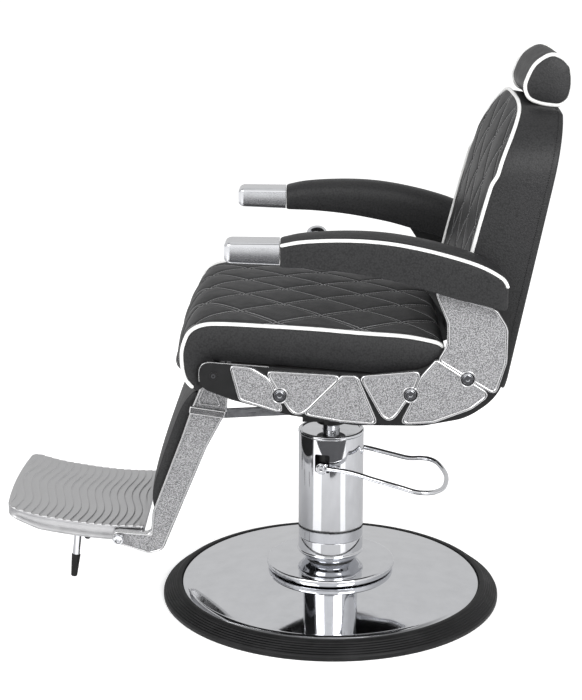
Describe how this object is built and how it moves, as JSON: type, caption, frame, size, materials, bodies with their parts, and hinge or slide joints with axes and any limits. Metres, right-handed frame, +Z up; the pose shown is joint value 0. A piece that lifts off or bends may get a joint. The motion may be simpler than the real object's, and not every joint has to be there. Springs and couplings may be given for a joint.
{
  "type": "hydraulic barber chair",
  "caption": "Reclining barber chair with padded seat, back, arms and headrest on a hydraulic pump base, with a swinging legrest and folding footplate.",
  "frame": {"origin": "on the pump's axis at the floor, in the middle of the base plate's underside", "axes": "+Z up along the pump; the chair faces -X; +Y is the sitter's right"},
  "size_m": [1.1031, 0.7, 1.1294],
  "materials": {
    "black_leather": "fine pebble grain, semi-gloss",
    "polished_casting": "polished rims around satin, pebbled fields",
    "chrome": "mirror plate",
    "plate_steel": "zinc plated",
    "black_steel": "black powder coat",
    "black_rubber": "matt moulded",
    "board": "plywood"
  },
  "bodies": {
    "base": {"base_plate": "plate_steel", "base_rim": "black_rubber", "base_cover": "chrome", "base_skirt": "chrome", "pump_cylinder": "plate_steel", "pump_cover": "chrome", "pump_cap": "chrome"},
    "pedal": {"pedal_loop": "chrome", "pedal_bolt_left": "chrome", "pedal_bolt_right": "chrome"},
    "lift": {"piston_rod": "plate_steel"},
    "seat": {"swivel_head": "black_steel", "seat_rail_left": "black_steel", "seat_rail_right": "black_steel", "seat_cross_front": "black_steel", "seat_cross_rear": "black_steel", "seat_pan": "board", "seat_cushion": "black_leather", "side_panel_left": "polished_casting", "side_panel_right": "polished_casting", "panel_bolt_left_1": "chrome", "panel_bolt_left_2": "chrome", "panel_bolt_left_3": "chrome", "panel_bolt_right_1": "chrome", "panel_bolt_right_2": "chrome", "panel_bolt_right_3": "chrome", "leg_shaft": "chrome", "back_shaft": "plate_steel", "arm_pad_left": "black_leather", "arm_pad_right": "black_leather", "arm_tip_left": "chrome", "arm_tip_right": "chrome", "recline_cylinder": "black_steel"},
    "back": {"back_crank": "black_steel", "back_bracket_left": "black_steel", "back_bracket_right": "black_steel", "back_shell": "black_leather", "back_cushion": "black_leather"},
    "headrest": {"headrest_stem": "plate_steel", "headrest_cushion": "black_leather"},
    "legrest": {"legrest_arm_left": "polished_casting", "legrest_arm_right": "polished_casting", "legrest_bar": "plate_steel", "calf_pad": "black_leather"},
    "link": {"link_bar_left": "plate_steel", "link_bar_right": "plate_steel"},
    "foot": {"footplate": "polished_casting", "foot_bolt_left": "chrome", "foot_bolt_right": "chrome", "foot_leg_left": "chrome", "foot_leg_right": "chrome", "foot_tip_left": "black_rubber", "foot_tip_right": "black_rubber"},
    "lever": {"recline_lever": "black_steel", "lever_knob": "chrome"},
    "lock": {"recline_rod": "plate_steel"}
  },
  "joints": [
    {"name": "seat_lift", "type": "slide", "parent": "base", "child": "lift", "axis": [0, 0, 1], "range_m": [0, 0.16]},
    {"name": "seat_swivel", "type": "hinge", "parent": "lift", "child": "seat", "pos_m": [0, 0, 0.4], "axis": [0, 0, 1], "continuous": true},
    {"name": "pump_pedal", "type": "hinge", "parent": "base", "child": "pedal", "pos_m": [0, 0, 0.297], "axis": [0.2419, 0.9703, 0], "range_deg": [0, 18], "stiffness_Nm_per_rad": 5, "springref_deg": -17.19},
    {"name": "back_recline", "type": "hinge", "parent": "seat", "child": "back", "pos_m": [0.252, 0, 0.577], "axis": [0, 1, 0], "range_deg": [0, 45]},
    {"name": "headrest_slide", "type": "slide", "parent": "back", "child": "headrest", "axis": [0.1923, 0, 0.9813], "range_m": [0, 0.08]},
    {"name": "legrest_swing", "type": "hinge", "parent": "seat", "child": "legrest", "pos_m": [-0.223, 0, 0.55], "axis": [0, 1, 0], "range_deg": [0, 45]},
    {"name": "link_bar_pivot", "type": "hinge", "parent": "legrest", "child": "link", "pos_m": [-0.208, 0, 0.44], "axis": [0, 1, 0], "range_deg": [-45, 0]},
    {"name": "footplate_fold", "type": "hinge", "parent": "legrest", "child": "foot", "pos_m": [-0.421, 0, 0.186], "axis": [0, 1, 0], "range_deg": [0, 85]},
    {"name": "recline_lever_pull", "type": "hinge", "parent": "seat", "child": "lever", "pos_m": [-0.016, 0.298, 0.492], "axis": [0, 1, 0], "range_deg": [0, 22], "stiffness_Nm_per_rad": 2, "springref_deg": -14.32},
    {"name": "recline_rod_slide", "type": "slide", "parent": "seat", "child": "lock", "axis": [-1, 0, 0], "range_m": [0, 0.089]}
  ],
  "couplings": [
    {"joint": "legrest_swing", "follows": "back_recline", "ratio": 1},
    {"joint": "link_bar_pivot", "follows": "back_recline", "ratio": -1},
    {"joint": "recline_rod_slide", "follows": "back_recline", "m_per_rad": 0.1128}
  ]
}
